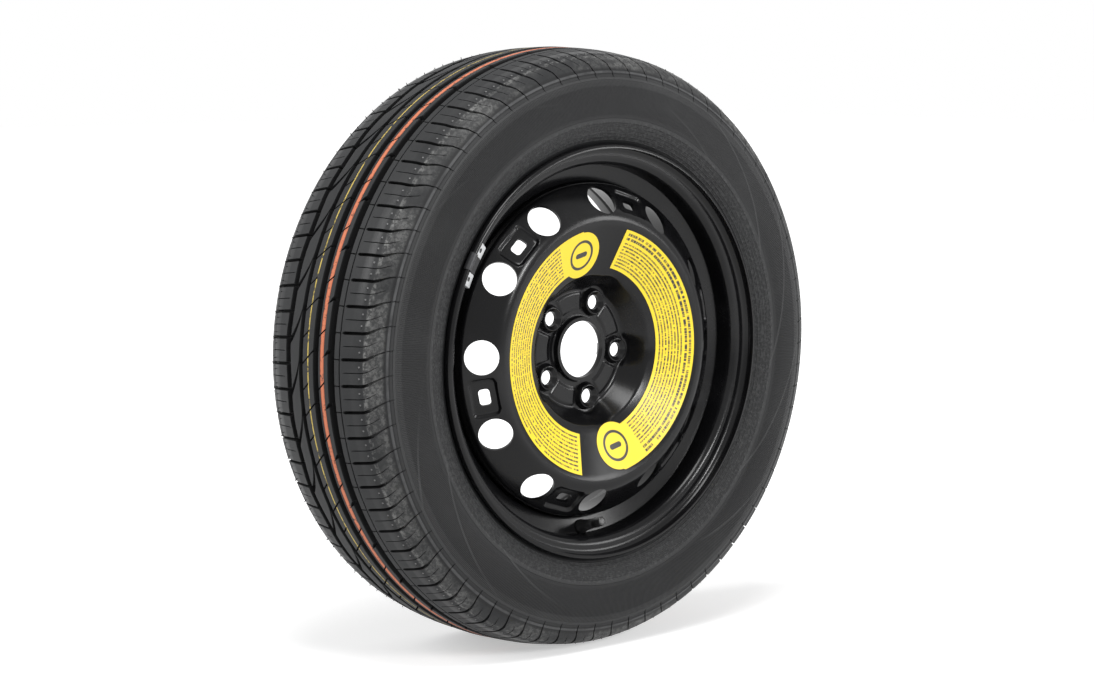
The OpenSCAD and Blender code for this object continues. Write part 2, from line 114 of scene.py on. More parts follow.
class StudioSettings(bpy.types.PropertyGroup):
    lens: FloatProperty(name="Lens", description="Focal length of the camera in millimetres",
                        default=87.94, min=20, max=200)
    distance: length("Distance", "Distance of the camera from the wheel", 2727.5)
    azimuth: FloatProperty(name="Azimuth", description="Angle of the camera round the wheel",
                           default=radians(-41.479), subtype="ANGLE")
    elevation: FloatProperty(name="Elevation", description="Height angle of the camera",
                             default=radians(6.462), subtype="ANGLE")
    lamp: FloatProperty(name="Lamps", description="Strength of all the lamps", default=1.0, min=0, max=5)


# Outlines
def turn_of(a, b, c):
    u, v = (b - a).normalized(), (c - b).normalized()
    return atan2(u.x * v.y - u.y * v.x, u.dot(v))


def rounded(points, bend=6):
    """Rounds the corners of a path of (out, radius, corner radius), with a step for every few degrees."""
    path = []
    flat = [Vector(p[:2]) for p in points]
    for i, p in enumerate(points):
        r = p[2] if len(p) > 2 else 0
        if i in (0, len(points) - 1) or not r:
            path.append(flat[i].copy())
            continue
        turn = turn_of(flat[i - 1], flat[i], flat[i + 1])
        u = (flat[i] - flat[i - 1]).normalized()
        side = copysign(1, turn)
        start = flat[i] - u * r * tan(abs(turn) / 2)
        hub = start + Vector((-u.y, u.x)) * side * r
        steps = max(1, ceil(abs(degrees(turn)) / bend))
        arm = start - hub
        for k in range(steps + 1):
            t = turn * k / steps
            c, s = cos(t), sin(t)
            path.append(hub + Vector((arm.x * c - arm.y * s, arm.x * s + arm.y * c)))
    return path


def shifted(path, by):
    """Moves a path sideways by a distance, to its left."""
    moved = []
    for i, p in enumerate(path):
        a = (path[min(i + 1, len(path) - 1)] - path[min(i, len(path) - 2)]).normalized()
        b = (path[max(i, 1)] - path[max(i - 1, 0)]).normalized()
        left = Vector((-a.y - b.y, a.x + b.x)).normalized()
        moved.append(p + left * by / (left.x * -a.y + left.y * a.x))
    return moved


def crossing(path, axis, value):
    """The first point where a path crosses a value of out (axis 0) or of radius (axis 1)."""
    for a, b in zip(path, path[1:]):
        if (a[axis] - value) * (b[axis] - value) <= 0 and a[axis] != b[axis]:
            return a.lerp(b, (value - a[axis]) / (b[axis] - a[axis]))
    raise ValueError(f"the outline never reaches {value}")


def ease(x):
    """Smooth rise from 0 to 1 as x goes from 0 to 1."""
    x = min(1.0, max(0.0, x))
    return x * x * (3 - 2 * x)


def soft_min(a, b, width):
    """The smaller of two values, with a blend of a width between them."""
    h = max(0.0, min(1.0, 0.5 + 0.5 * (b - a) / width))
    return b * (1 - h) + a * h - width * h * (1 - h)


def turned(angle):
    """An angle brought between -180 and 180 degrees."""
    return (angle + pi) % TAU - pi


# Meshes
def add_chain(bm, points, closed=False):
    """Puts points into a mesh, with the edges between them."""
    verts = [bm.verts.new(p) for p in points]
    pairs = list(zip(verts, verts[1:])) + ([(verts[-1], verts[0])] if closed else [])
    return verts, [bm.edges.new(pair) for pair in pairs]


def add_line(bm, path, closed=False):
    """Puts a path of (out, radius) into a mesh, in the half plane of +X."""
    return add_chain(bm, [(p[1] * MM, -p[0] * MM, 0) for p in path], closed)


def spin(bm, parts, steps, axis=(0, -1, 0), angle=TAU):
    """Spins parts about an axis through the middle of the wheel, and closes a full turn."""
    bmesh.ops.spin(bm, geom=parts, cent=(0, 0, 0), axis=axis, dvec=(0, 0, 0), angle=angle, steps=steps,
                   use_merge=angle == TAU, use_duplicate=False)


def settle(bm, apart=1e-6):
    """Merges doubles and turns the faces outwards."""
    bmesh.ops.remove_doubles(bm, verts=bm.verts[:], dist=apart)
    bmesh.ops.delete(bm, geom=[e for e in bm.edges if not e.link_faces], context="EDGES")
    bmesh.ops.recalc_face_normals(bm, faces=bm.faces[:])


def face_outwards(bm):
    """Turns the faces of an open sheet on the outer side of the wheel towards the viewer."""
    bmesh.ops.recalc_face_normals(bm, faces=bm.faces[:])
    if sum(f.normal.y for f in bm.faces) > 0:
        bmesh.ops.reverse_faces(bm, faces=bm.faces[:])


def sharpen(piece, degree):
    """Marks the edges of a piece that bend more than some degrees as sharp."""
    piece.data.set_sharp_from_angle(angle=radians(degree))


def make_object(name, bm, material=None, crease=35):
    mesh = bpy.data.meshes.new(name)
    bm.to_mesh(mesh)
    bm.free()
    mesh.shade_smooth()
    piece = bpy.data.objects.new(name, mesh)
    bpy.context.scene.collection.objects.link(piece)
    if crease:
        sharpen(piece, crease)
    if material:
        mesh.materials.append(material)
    return piece


def apply_modifiers(piece):
    """Turns a piece's modifiers into its mesh."""
    graph = bpy.context.evaluated_depsgraph_get()
    mesh = bpy.data.meshes.new_from_object(piece.evaluated_get(graph), depsgraph=graph)
    old = piece.data
    piece.modifiers.clear()
    piece.data = mesh
    bpy.data.meshes.remove(old)


def thicken(piece, thickness, offset, even=False):
    """Gives a sheet its thickness in millimetres."""
    wall = piece.modifiers.new("Thickness", "SOLIDIFY")
    wall.thickness, wall.offset, wall.use_even_offset = thickness * MM, offset, even
    apply_modifiers(piece)


def combine(piece, bm, how):
    """Joins a piece with a shape or cuts it with one."""
    settle(bm)
    tool = make_object("tool", bm)
    mod = piece.modifiers.new(how.title(), "BOOLEAN")
    mod.operation, mod.object, mod.solver = how, tool, "MANIFOLD"
    apply_modifiers(piece)
    mesh = tool.data
    bpy.data.objects.remove(tool)
    bpy.data.meshes.remove(mesh)


def wheel_point(angle, radius, out):
    """Millimetres round the wheel to a point in metres."""
    return Vector((radius * cos(angle), -out, radius * sin(angle))) * MM


def seat_matrix(angle, radius, out, lean=0.0):
    """Frame at a place on the wheel: Z along the outward axis, X away from the axle, leaned towards +X."""
    away = Vector((cos(angle), 0, sin(angle)))
    outward = Vector((0, -1, 0))
    z = outward * cos(lean) + away * sin(lean)
    x = away * cos(lean) - outward * sin(lean)
    y = z.cross(x)
    place = Matrix((x, y, z)).transposed().to_4x4()
    place.translation = wheel_point(angle, radius, out)
    return place


def spin_local(bm, path, steps, place, closed=False):
    """Spins a path of (radius, height) in millimetres about the Z axis of a place."""
    there = set(bm.verts)
    verts, edges = add_chain(bm, [(p[0] * MM, 0, p[1] * MM) for p in path], closed)
    spin(bm, verts + edges, steps, axis=(0, 0, 1))
    bmesh.ops.transform(bm, matrix=place, verts=[v for v in bm.verts if v not in there])


# Materials
def maths(operation, swapped=False):
    """Method of a signal that adds a Math node."""
    def method(self, *others):
        values = (*others, self) if swapped else (self, *others)
        return self.board.add("ShaderNodeMath", {"operation": operation}, dict(enumerate(values)))
    return method


class Signal:
    """A socket that can be used in sums."""

    def __init__(self, board, socket):
        self.board, self.socket = board, socket

    __add__, __radd__ = maths("ADD"), maths("ADD", True)
    __sub__, __rsub__ = maths("SUBTRACT"), maths("SUBTRACT", True)
    __mul__, __rmul__ = maths("MULTIPLY"), maths("MULTIPLY", True)
    __mod__, __abs__ = maths("FLOORED_MODULO"), maths("ABSOLUTE")
    floor, sine, root = maths("FLOOR"), maths("SINE"), maths("SQRT")
    low, high, angle_from = maths("MINIMUM"), maths("MAXIMUM"), maths("ARCTAN2")

    def step(self, start, end):
        """Smooth rise from 0 at start to 1 at end."""
        return self.board.add("ShaderNodeMapRange", {"interpolation_type": "SMOOTHSTEP"},
                              {"Value": self, "From Min": start, "From Max": end})

    def band(self, low, high, soft):
        """1 between two values, with soft edges."""
        return self.step(low - soft / 2, low + soft / 2) * (1 - self.step(high - soft / 2, high + soft / 2))


def span(a, b):
    """Length of the long side of a right-angled triangle, for two signals."""
    return (a * a + b * b).root()


class Board:
    """The node tree of a material or a world."""

    def __init__(self, owner):
        owner.use_nodes = True
        self.tree = owner.node_tree

    def add(self, kind, settings, inputs, output=0):
        node = self.tree.nodes.new(kind)
        for name, value in settings.items():
            setattr(node, name, value)
        for name, value in inputs.items():
            self.feed(node.inputs[name], value)
        return Signal(self, node.outputs[output])

    def feed(self, socket, value):
        if isinstance(value, Signal):
            self.tree.links.new(value.socket, socket)
        elif socket.type == "RGBA":
            socket.default_value = (*value, 1)
        else:
            socket.default_value = value

    def seen_by(self, *rays):
        """1 for any of the named kinds of ray."""
        path = self.tree.nodes.new("ShaderNodeLightPath")
        first, *others = [Signal(self, path.outputs[ray]) for ray in rays]
        for ray in others:
            first = first.high(ray)
        return first


class Finish(Board):
    """A material with its nodes."""

    def __init__(self, name):
        self.material = bpy.data.materials.new(name)
        super().__init__(self.material)
        self.shader = self.tree.nodes["Principled BSDF"]
        self.place = self.add("ShaderNodeTexCoord", {}, {}, "Object")

    def set(self, **values):
        for name, value in values.items():
            self.feed(self.shader.inputs[name.replace("_", " ")], value)

    def axes(self):
        split = self.tree.nodes.new("ShaderNodeSeparateXYZ")
        self.feed(split.inputs[0], self.place)
        return [Signal(self, s) for s in split.outputs]

    def mix(self, a, b, share):
        return self.add("ShaderNodeMix", {"data_type": "RGBA"}, {0: share, 6: a, 7: b}, 2)

    def coats(self, base, *coats):
        """A colour under coats of (colour, share), the last one on top."""
        for tint, share in coats:
            base = self.mix(base, tint, share)
        return base

    def noise(self, scale, detail=3.0, rough=0.5):
        return self.add("ShaderNodeTexNoise", {}, {"Vector": self.place, "Scale": scale,
                                                   "Detail": detail, "Roughness": rough})

    def flat_noise(self, x, y):
        return self.add("ShaderNodeTexNoise", {"noise_dimensions": "2D"},
                        {"Vector": self.add("ShaderNodeCombineXYZ", {}, {0: x, 1: y, 2: 0}),
                         "Scale": 1.0, "Detail": 0.0})

    def bump(self, height, distance, strength=1.0):
        return self.add("ShaderNodeBump", {}, {"Height": height, "Distance": distance, "Strength": strength})


def paint_finish(cfg):
    f = Finish("gloss_black_paint")
    dust = f.noise(14, 5, 0.65).step(0.52, 0.80)
    specks = f.noise(620, 2, 0.6).step(0.68, 0.75)
    veil = (dust * 0.5 + specks * 0.4).low(1)
    f.set(Base_Color=f.mix(cfg.paint, (0.028, 0.028, 0.029), veil * 0.5),
          Roughness=veil * 0.18 + cfg.roughness, Specular_IOR_Level=0.20,
          Normal=f.bump(f.noise(190, 2), 0.0001, 0.3))
    return f.material


def rubber_finish(cfg):
    f = Finish("tyre_rubber")
    x, y, z = f.axes()
    angle, radius, out = z.angle_from(x), span(x, z) * IN_MM, y * -IN_MM
    far = abs(out)
    grain, cloud, patch = f.noise(900, 2, 0.6), f.noise(9, 4, 0.6), f.noise(38, 4, 0.7)
    rough = f.noise(230, 5, 0.75)

    # below the crown of the tread the rubber is clean, and the grooves are darkened with painted shade
    square = far * far
    below = TREAD_R - square * 0.00114 - square * square * 7.4e-8 - radius
    well = below.step(0.5, 2.2) * (1 - far.step(66, 70)) * radius.step(286, 288)
    top = 1 - below.step(0.3, 0.7)

    # painted lines, a little worn, on the top of the ribs only
    wander = (f.noise(9, 1) - 0.5) * 3.0
    course = out + wander * 0.35
    wide = course.band(15.1, 20.1, 0.5) * top * f.noise(240, 3, 0.7).step(0.30, 0.46)
    core = course.band(16.0, 19.0, 1.2) * top
    thin = (out + wander).band(-4.4, -2.7, 0.4) * top * f.noise(150, 3, 0.7).step(0.34, 0.52)

    # pale scuffs where the tread turns into the side wall, and dust all over
    scuff = far.band(70.5, 87, 2.5) * radius.band(281, 297, 3) * (rough.step(0.42, 0.62) * 0.8 + 0.2)
    scuff = scuff * f.noise(16, 2).step(0.34, 0.58)
    edge = (far + rough * 2).band(71.6, 75.4, 0.8) * rough.step(0.47, 0.60)
    veil = (cloud.step(0.35, 0.75) * 0.34 + patch.step(0.5, 0.8) * 0.26).low(1)

    # side wall: close hatching, rings, long leaning strokes, a mottled bead and raised shelves, with painted
    # highlight on the shelves, plateaus and crest
    side = 1 - radius.step(281, 284)
    hatch = (angle * 980).sine() * radius.band(236, 270, 4)
    ring = (radius * (TAU / 3.4)).sine().step(0.35, 0.95) * radius.band(209, 228, 0.5)
    strokes = (angle * 12 - radius * 0.178).sine().step(0.965, 0.995) * radius.band(230, 270, 8)
    strokes = strokes * f.noise(4, 1).step(0.42, 0.55)
    mottle = radius.band(211, 231, 3) * f.noise(330, 4, 0.7).step(0.44, 0.60)
    # the raised shelves and plateaus are bumps, and their pale colour is painted highlight
    shelf_and_highlight = radius.band(265, 276.5, 2) * (cloud.step(0.3, 0.7) * 0.5 + 0.5)
    plateau_and_highlight = radius.band(228.5, 233, 0.6) + radius.band(271, 273.5, 0.6)
    # the crest of the rib near the top of the side wall is painted light as painted highlight
    crest_highlight = radius.band(277.5, 279.6, 0.9) * (patch.step(0.3, 0.6) * 0.6 + 0.4)
    relief = (hatch * 0.30 + ring * 0.7 + strokes * 0.7 + plateau_and_highlight * 0.9 + mottle * 0.35 + shelf_and_highlight * 0.5) * side
    # pale colour: tone of the strokes, rings and mottled bead, and painted highlight on the plateaus and
    # shelves
    pale = ((strokes * 0.36 + plateau_and_highlight * 0.20 + ring * 0.14 + mottle * 0.30 + shelf_and_highlight * 0.24) * side).low(1)

    # moulding pips on the outer blocks, at the short whiskers; their pale dots are painted highlight
    along = (angle + TAU) * (cfg.blocks / TAU) % 1 * BLOCK_LENGTH
    near = abs(along - 5.2).low(abs(along - 16.5))
    pips = 1 - span(near, out - 66.5).step(0.75, 1.05)

    height = grain * 0.05 + relief + rough * far.band(70, 88, 3) * 0.25 + pips * 0.5
    base = f.coats(
        cfg.rubber,
        (cfg.dust, veil),
        ((0.20, 0.20, 0.195), (scuff * 0.44 + edge * 0.34).low(0.8)),
        (cfg.wide_line, wide * 0.9),
        ((0.72, 0.28, 0.16), core * wide * 0.5),
        (cfg.thin_line, thin * 0.9),
        # painted shade in the grooves of the tread
        ((0.0022, 0.0022, 0.0025), well * 0.88),
        ((0.004, 0.004, 0.0045), side * (0.72 - hatch * 0.26 - cloud.step(0.45, 0.7) * 0.30)),
        ((0.070, 0.071, 0.072), pale),
        # painted highlight along the crest
        ((0.14, 0.142, 0.145), crest_highlight * 0.42),
        # painted highlight on the pips
        ((0.17, 0.17, 0.17), pips * 0.8))
    shine = far.band(56, 70, 3) * top * 0.24
    f.set(Base_Color=base, Roughness=0.50 + veil * 0.22 + grain * 0.08 + well * 0.25 - shine,
          Specular_IOR_Level=0.24, Normal=f.bump(height, 0.0007))
    return f.material


def label_finish(cfg, name, start, bold):
    """Yellow film with rows of plain bars and a ring at its round end, which stands at the angle of start."""
    f = Finish(name)
    x, y, z = f.axes()
    radius = span(x, z) * IN_MM
    ca, sa = cos(start), sin(start)
    # angle past the round end, in degrees
    past = (z * ca - x * sa).angle_from(x * ca + z * sa) * degrees(1)
    past = (past + 30) % 360 - 30
    # (inner radius, outer radius, rows, share of a row that its bars fill, length of the bars)
    bands = [(86.6, 122.8, 9, 0.44, 1.0)]
    if bold:
        bands = [(87.0, 113.0, 8, 0.50, 1.3), (114.2, 122.8, 2, 0.62, 0.62)]
    ink = None
    for k, (low, high, count, fill, bar) in enumerate(bands):
        place = (radius - low) * (count / (high - low))
        number = place.floor()
        seat = abs(place - number - 0.5)
        long = f.flat_noise(past * bar, number * 7.31 + k * 31)
        short = f.flat_noise(past * bar * 3.6, number * 3.17 + k * 17)
        row = (1 - seat.step(fill / 2 - 0.04, fill / 2 + 0.04)) * long.step(0.30, 0.35)
        row = row * short.step(0.33, 0.42) * radius.band(low, high, 0.2)
        ink = row if ink is None else ink.high(row)
    ink = ink * past.band(15.5, 150.3, 0.4)
    # ring and pill at the round end
    dx, dz = x - LABEL_END_AT * MM * ca, z - LABEL_END_AT * MM * sa
    ring = (span(dx, dz) * IN_MM).band(12.6, 15.4, 0.4)
    along = (abs((dz * ca - dx * sa) * IN_MM) - 5).high(0)
    pill = 1 - span(along, (dx * ca + dz * sa) * IN_MM).step(2.5, 2.9)
    ink = ink.high(ring.high(pill) * (1 - past.step(13, 14)))
    soil = f.noise(60, 4, 0.7).step(0.55, 0.8)
    rub = f.noise(420, 3, 0.7).step(0.24, 0.34)
    f.set(Base_Color=f.coats(cfg.label, ((0.55, 0.42, 0.10), soil * 0.25), (cfg.ink, ink * rub)),
          Roughness=0.34 + soil * 0.18 - ink * 0.05, Specular_IOR_Level=0.5,
          Normal=f.bump(f.noise(120, 2), 0.0003, 0.25))
    return f.material


def cast_finish(cfg):
    """Zinc, with the floors of the two dimples dark."""
    f = Finish("zinc_casting")
    grain = f.noise(700, 3, 0.6)
    stain = f.noise(90, 4, 0.6).step(0.45, 0.75)
    x, y, z = f.axes()
    spots = [wheel_point(WEIGHT_AT + side * DIMPLE_TURN, DIMPLE_R, 0) for side in (-1, 1)]
    first, second = [span(x - spot.x, z - spot.z) * IN_MM for spot in spots]
    hole = 1 - first.low(second).step(2.0, 2.6)
    base = f.coats(cfg.zinc, ((0.30, 0.31, 0.32), stain * 0.6), ((0.012, 0.012, 0.013), hole * 0.92))
    f.set(Base_Color=base, Metallic=0.6 - hole * 0.5,
          Roughness=0.42 + grain * 0.15, Normal=f.bump(grain, 0.0002, 0.5))
    return f.material


def clip_finish(cfg):
    f = Finish("clip_steel")
    grain = f.noise(500, 3, 0.6)
    f.set(Base_Color=f.mix(cfg.steel, (0.01, 0.01, 0.01), grain.step(0.45, 0.7) * 0.7), Metallic=0.3,
          Roughness=0.34 + grain * 0.2, Normal=f.bump(grain, 0.0002, 0.4))
    return f.material


def brass_finish(cfg, name, tint):
    f = Finish(name)
    dull = f.noise(260, 3, 0.6).step(0.4, 0.75)
    f.set(Base_Color=f.mix([c * tint for c in cfg.brass], (0.22, 0.15, 0.06), dull * 0.5), Metallic=1.0,
          Roughness=0.28 + dull * 0.2, Normal=f.bump(f.noise(1400, 3, 0.6), 0.00005, 0.4))
    return f.material


def plain_finish(name, tint, rough):
    """Rubber or plastic of the small parts, with a little pale dust."""
    f = Finish(name)
    dust = f.noise(200, 4, 0.6).step(0.5, 0.8)
    f.set(Base_Color=f.mix(tint, [min(1, c * 3 + 0.03) for c in tint], dust * 0.5),
          Roughness=rough + dust * 0.12, Normal=f.bump(f.noise(1300, 3, 0.6), 0.0001, 0.4))
    return f.material


# Wheel lines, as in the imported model
SEAT_R, FLANGE_R, LIP_OUT = 190.1, 207.6, 91.0
FLANGE_SIDE = [(56.6, 188.37, 1.5), (76.2, SEAT_R, 6.5), (76.2, FLANGE_R, 9.5), (LIP_OUT, FLANGE_R, 3.6),
               (LIP_OUT, 203.4, 0)]
HUMP = (52.68, 189.77, 2.9)
INNER_HALF = [(8, 183.5, 14), (47.4, 186.8, 5), HUMP] + FLANGE_SIDE
RIM_PATH = [(-o, r, c) for o, r, c in reversed(INNER_HALF)]
WELL_OUT, WELL_R = 46.9, 170.8
RIM_PATH += [(19.9, WELL_R, 6), (WELL_OUT, WELL_R, 1.5), HUMP] + FLANGE_SIDE
RIM_METAL, DISC_METAL = 2.6, 3.6
BOLT_R, BOLTS = 50, [radians(66.9 - 72 * k) for k in range(5)]
VENTS = [radians(28 + 30 * k) for k in range(12)]
PADS = [radians(13 + 60 * k) for k in range(6)]
PLATE_OUT, CONE_OUT, CONE_R = 41.6, 64.5, 76
RIDGE_OUT, RIDGE_R, RIDGE_ROUND = 86.33, 135.0, 18.5
VENT_SLOPE, VENT_R = radians(39.2), 151.9
VENT_OUT = RIDGE_OUT - (VENT_R - RIDGE_R) * tan(VENT_SLOPE)
PAD_WIDE, PAD_HIGH, PAD_CORNER, PAD_WALL = 37, 26, 5, 3.4
WINDOW_WIDE, WINDOW_HIGH, WINDOW_CORNER = 16.5, 11, 3.4
# where the valve stands: angle, lean towards the middle of the wheel, height above the well
VALVE_ANGLE, VALVE_LEAN, VALVE_UP = radians(268.5), radians(17), 9.9


def places(start, gap, count):
    """Values with the same gap between them."""
    return [start + gap * k for k in range(count)]


# angles from the middle of a pad, and radii, where the disc has vertices: close together at a pad's walls
PAD_ANGLES = places(1.1, 1.1, 4) + places(5.0, 0.42, 10) + places(9.9, 1.1825, 18)
BAND_RADII = places(139.4, 0.8, 7) + [147.5, 151.9, 156.3] + places(159.4, 0.8, 7) + [166.2]


# Tyre lines: (out, radius, corner radius)
TREAD_R, BLOCK_LENGTH, SHOULDER_OUT = 303, 25.4, 67
TYRE_HALF = [(0, TREAD_R, 0), (37.5, 301.4, 150), (SHOULDER_OUT, 296.4, 40), (82, 288, 14), (91.4, 267.6, 50),
             (94, 242.6, 60), (91, 222.1, 25), (84.8, 211, 6), (82.5, 207.15, 0)]
LINING_HALF = [(0, 289.4, 300), (61, 286.4, 40), (77, 276.4, 14), (87, 250.6, 50), (86, 230.6, 30),
               (71.2, 209.6, 14), (58.4, 193.1, 0)]
# radii where the side wall has vertices, and the height of the rib near its top
WALL_RADII = (286.5, 283, 280, 279.2, 277.6, 276.8, 272, 264, 254, 244, 234, 227, 219, 213, 209, 207.15)
WALL_RIB = 0.7
# main grooves and the fine groove of the tread: middle, width, depth
GROOVES = [(30.7, 9.8, 7.6), (8.2, 8.2, 7.6), (-15.6, 6.6, 6.6), (-37, 8.4, 7.6), (42.2, 1.5, 2.6)]
# rows of vertices between the grooves, and how far out the two rows of shoulder blocks begin
RIB_ROWS = (-30.2, -27.8, -25.6, -23.6, -22, -20.8, -19.6, -8, -3.6, 0.5, 14.5, 18, 20.6, 21.2, 23.6,
            44, 46.5, 51, 56, 61, 65, 69, 72, 75, 78, -44, -49, -56, -63, -69, -73.5, -78)
OUTER_BLOCKS, INNER_BLOCKS = 42.94, 41.19
# how far the pattern runs along the tread at a distance out, and how far the shoulder slots sweep back
DRIFT = ((35.6, 0), (25.8, -6.2), (12.3, 5.3), (4.1, -5.2), (-12.3, 8.0), (-18.9, 5.8))
LEAF_RIB, LEAF_LENGTH, INNER_DRIFT = (-18.9, -32.8), 32.0, 36.3
SWEEP = ((41, 0), (58, 1.2), (70, 1.8), (75, 3.6), (80, 6.5), (86, 11.5), (92, 14))
# where the columns of vertices stand in a block, in millimetres from the middle of its slot
COLUMNS = (-1.65, -1.2, 1.2, 1.65, 4.8, 8.8, 12.25, 12.7, 13.15, 18.6)
# moulding whiskers of a block: (out, place along the tread, length against the short ones)
WHISKERS = ((66.5, 6.9, 1), (66.5, 18.2, 1), (76, 9.5, 1), (-64, 7.5, 2.2), (-64, 18.5, 1.7), (-73, 13, 2.0))


def read_off(table, x):
    """Value of a table of (x, value) at x, on straight lines between its entries."""
    for (x0, a), (x1, b) in zip(table, table[1:]):
        if min(x0, x1) <= x <= max(x0, x1):
            return a + (b - a) * (x - x0) / (x1 - x0)
    return table[0][1] if abs(x - table[0][0]) < abs(x - table[-1][0]) else table[-1][1]


def drift_at(out):
    if out > LEAF_RIB[0]:
        return read_off(DRIFT, out)
    if out < LEAF_RIB[1]:
        return INNER_DRIFT
    return DRIFT[-1][1] + LEAF_LENGTH * ((LEAF_RIB[0] - out) / (LEAF_RIB[0] - LEAF_RIB[1])) ** 0.6


def tread_rows():
    """Rows of the tread from the inner to the outer shoulder: (out, depth of the main groove)."""
    rows = [(out, 0) for out in RIB_ROWS]
    for middle, width, depth in GROOVES:
        draft = min(0.7, width / 4)
        rows += [(middle - width / 2, 0), (middle - width / 2 + draft, depth),
                 (middle + width / 2 - draft, depth), (middle + width / 2, 0)]
    return sorted(rows)


def slot_cut(side, out, column, cfg):
    """How deep a shoulder slot or sipe is at a column, and where the column stands along the tread."""
    far = abs(out)
    along = COLUMNS[column]
    full = far > 45 or side < 0
    depth = 0.0
    if full and far < 88.5:
        if column in (1, 2):
            depth = cfg.slot_depth / MM * (1 - 0.50 * ease((far - 70) / 10) - 0.30 * ease((far - 80) / 8))
        if column == 7 and 47 < far < 84:
            depth = 2.6 * ease((84 - far) / 12)
    if column < 4:
        half = cfg.slot_width / MM / 2
        width = (1 - 0.55 * ease((far - 74) / 12)) if full else 0.3
        along = copysign(half if column in (0, 3) else half - 0.45, along) * width
    return depth, along - side * read_off(SWEEP, far)


def rib_cut(out, column, block):
    """Nicks in the middle ribs: how deep, and where the column stands along the tread."""
    along = COLUMNS[column]
    if column > 3:
        return 0.0, along
    depth, width = 0.0, 1.0
    if 35.5 < out < 41.5:
        depth, width = 2.0, 0.40
    elif 12.2 < out < 25.9 and block % 2:
        depth, width = 4.6 * ease((out - 20.0) / 2.4), 0.35 + 1.05 * ease((out - 20.4) / 4)
    elif 12.2 < out < 21:
        depth, width = 3.0, 0.62
    elif -12.4 < out < 4.2:
        depth, width = (3.2 if block % 2 or out < -5 else 0.0), 0.68
    elif LEAF_RIB[1] - 0.01 < out < LEAF_RIB[0] + 0.01 and block % 2:
        depth, width = 5.0, 2.3
    return (depth if column in (1, 2) else 0.0), along * width


def mirrored(line):
    """The same line on the inner half, from its end to its start."""
    return [(-out, radius, depth) for out, radius, depth in reversed(line)]


def build_tyre(cfg):
    pitch = TAU / cfg.blocks
    steps = cfg.blocks * len(COLUMNS)
    half = rounded(TYRE_HALF, 5)
    upper = [p for p in half if p.y > 283]  # the part that the rows of the tread are read from
    seat = [p for p in shifted(rounded(RIM_PATH, 22.5), 0.12) if 58.4 <= p.x < 82.3 and p.y < 207.1]

    # the section as (out, radius, depth of groove)
    rows = [(out, crossing(upper, 0, abs(out)).y, depth) for out, depth in tread_rows()]
    wall = [(crossing(half[::-1], 1, radius).x + (WALL_RIB if 277 < radius < 280 else 0), radius, 0)
            for radius in WALL_RADII]
    bead = [(p.x, p.y, 0) for p in reversed(seat)]
    lining = [(p.x, p.y, 0) for p in reversed(rounded(LINING_HALF, 45))]
    section = mirrored(bead) + mirrored(wall) + rows + wall + bead + lining + mirrored(lining)[1:]
    first, last = len(bead), len(bead) + 2 * len(wall) + len(rows)

    bm = bmesh.new()
    kinds = bm.verts.layers.int.new("row")
    verts, edges = add_line(bm, section, closed=True)
    for i, v in enumerate(verts):
        v[kinds] = i
    spin(bm, verts + edges, steps)
    for v in bm.verts:
        out, top, depth = section[v[kinds]]
        index = round(atan2(v.co.z, v.co.x) % TAU / TAU * steps) % steps
        block, column = divmod(index, len(COLUMNS))
        along, cut = COLUMNS[column], 0.0
        patterned = top > 262 and first <= v[kinds] < last
        if patterned and (out > OUTER_BLOCKS or out < -INNER_BLOCKS):
            side = 1 if out > 0 else -1
            cut, along = slot_cut(side, out, column, cfg)
            if side < 0:
                along += INNER_DRIFT
        elif patterned:
            cut, along = rib_cut(out, column, block)
            along += drift_at(out)
        if patterned and -41.3 < out < -32.7:
            # the inner groove weaves a little
            out += 0.8 * sin(block * TAU / 3 + column * TAU / 30)
        radius = top - max(depth, cut) if abs(out) < SHOULDER_OUT else top
        if cut and abs(out) >= SHOULDER_OUT:
            # past the shoulder a slot is cut square to the rounded surface
            lean = min(1.0, (abs(out) - SHOULDER_OUT) / 22) * 1.1
            radius = top - cut * cos(lean)
            out -= copysign(cut * sin(lean), out)
        v.co = wheel_point(block * pitch + along / TREAD_R, radius, out)

    # whiskers, uneven from block to block
    for k in range(cfg.blocks):
        for out, along, share in WHISKERS:
            top = crossing(upper, 0, abs(out)).y * MM
            reach = cfg.whisker * share * (1 + 0.25 * sin(k * 2.4 + along))
            place = (Matrix.Rotation(-(k * pitch + along / TREAD_R), 4, "Y")
                     @ Matrix.Translation((top + reach / 2 - 0.3 * MM, -out * MM, 0))
                     @ Matrix.Rotation(pi / 2, 4, "Y"))
            bmesh.ops.create_cone(bm, cap_ends=True, segments=5, radius1=0.45 * MM, radius2=0.33 * MM,
                                  depth=reach, matrix=place)
    for v in bm.verts:
        v.co.z = max(v.co.z, GROUND_Z)
    bmesh.ops.recalc_face_normals(bm, faces=bm.faces[:])
    return make_object("tyre_dressed", bm, rubber_finish(cfg), crease=40)


# Wheel
def valve_place():
    """Frame on the valve's axis, with Z along it, from the outer face of the well wall."""
    out = WELL_OUT + VALVE_UP * tan(VALVE_LEAN)
    place = seat_matrix(VALVE_ANGLE, WELL_R + VALVE_UP, out, -VALVE_LEAN)
    return place @ Matrix.Translation((0, 0, RIM_METAL * MM))


def build_rim(material):
    path = rounded(RIM_PATH, 9)
    bm = bmesh.new()
    verts, edges = add_line(bm, path + shifted(path, -RIM_METAL)[::-1], closed=True)
    spin(bm, verts + edges, 288)
    settle(bm)
    rim = make_object("rim_dressed", bm, material, crease=0)
    bm = bmesh.new()
    spin_local(bm, [(0, -8), (5.65, -8), (5.65, 8), (0, 8)], 40, valve_place())
    combine(rim, bm, "DIFFERENCE")
    sharpen(rim, 38)
    return rim


def pocket_height(x, y, radius):
    """Height of the wall of the nearest bolt pocket above the plate."""
    past = min(hypot(x - BOLT_R * cos(b), y - BOLT_R * sin(b)) for b in BOLTS) - radius
    return (past + hypot(past, 1.1)) / 2 * tan(radians(67))


